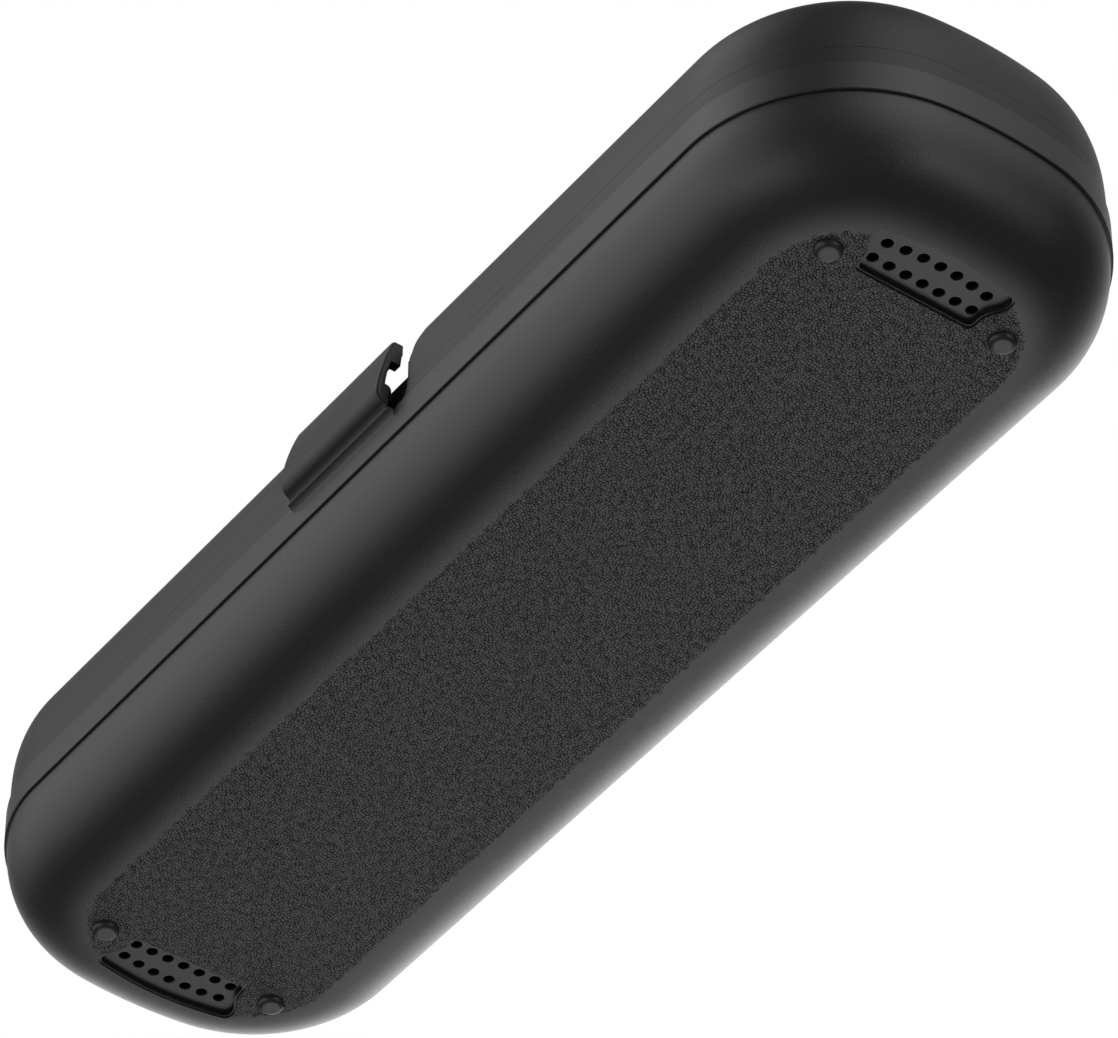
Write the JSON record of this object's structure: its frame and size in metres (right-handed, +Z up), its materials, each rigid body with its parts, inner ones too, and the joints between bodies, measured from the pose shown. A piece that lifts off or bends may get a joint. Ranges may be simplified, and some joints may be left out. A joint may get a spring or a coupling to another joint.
{
  "type": "electric_toothbrush_travel_case",
  "caption": "Hard black travel case for an electric toothbrush, with rounded shells, a hinged lid, a front clip latch, a vented bottom on four feet, and a handle trough and two brush head boxes inside",
  "frame": {"origin": "middle of the case's outline in plan, on the surface that its four feet stand on", "axes": "+X along the case's length, -Y towards the latch, +Y towards the hinges, +Z up towards the lid"},
  "size_m": [0.2298, 0.0764, 0.0415],
  "materials": {
    "shell": "fine satin texture",
    "latch": "satin",
    "tray": "satin",
    "foot": "matt",
    "pin": "bright drawn wire"
  },
  "bodies": {
    "base": {"bottom_shell": "shell", "base_rim": "shell", "tray_deck": "tray", "handle_trough": "tray", "head_box_right": "tray", "head_box_left": "tray", "latch_pin": "pin", "hinge_pin_right": "pin", "hinge_pin_left": "pin", "foot_front_right": "foot", "foot_rear_right": "foot", "foot_front_left": "foot", "foot_rear_left": "foot"},
    "lid": {"lid_frame": "shell", "lid_shell": "shell"},
    "latch": {"latch_clip": "latch"}
  },
  "joints": [
    {"name": "lid_hinge", "type": "hinge", "parent": "base", "child": "lid", "pos_m": [0, 0.03611, 0.02148], "axis": [-1, 0, 0], "range_deg": [0, 120]},
    {"name": "latch_pivot", "type": "hinge", "parent": "base", "child": "latch", "pos_m": [0, -0.03631, 0.02366], "axis": [1, 0, 0], "range_deg": [0, 95]}
  ]
}
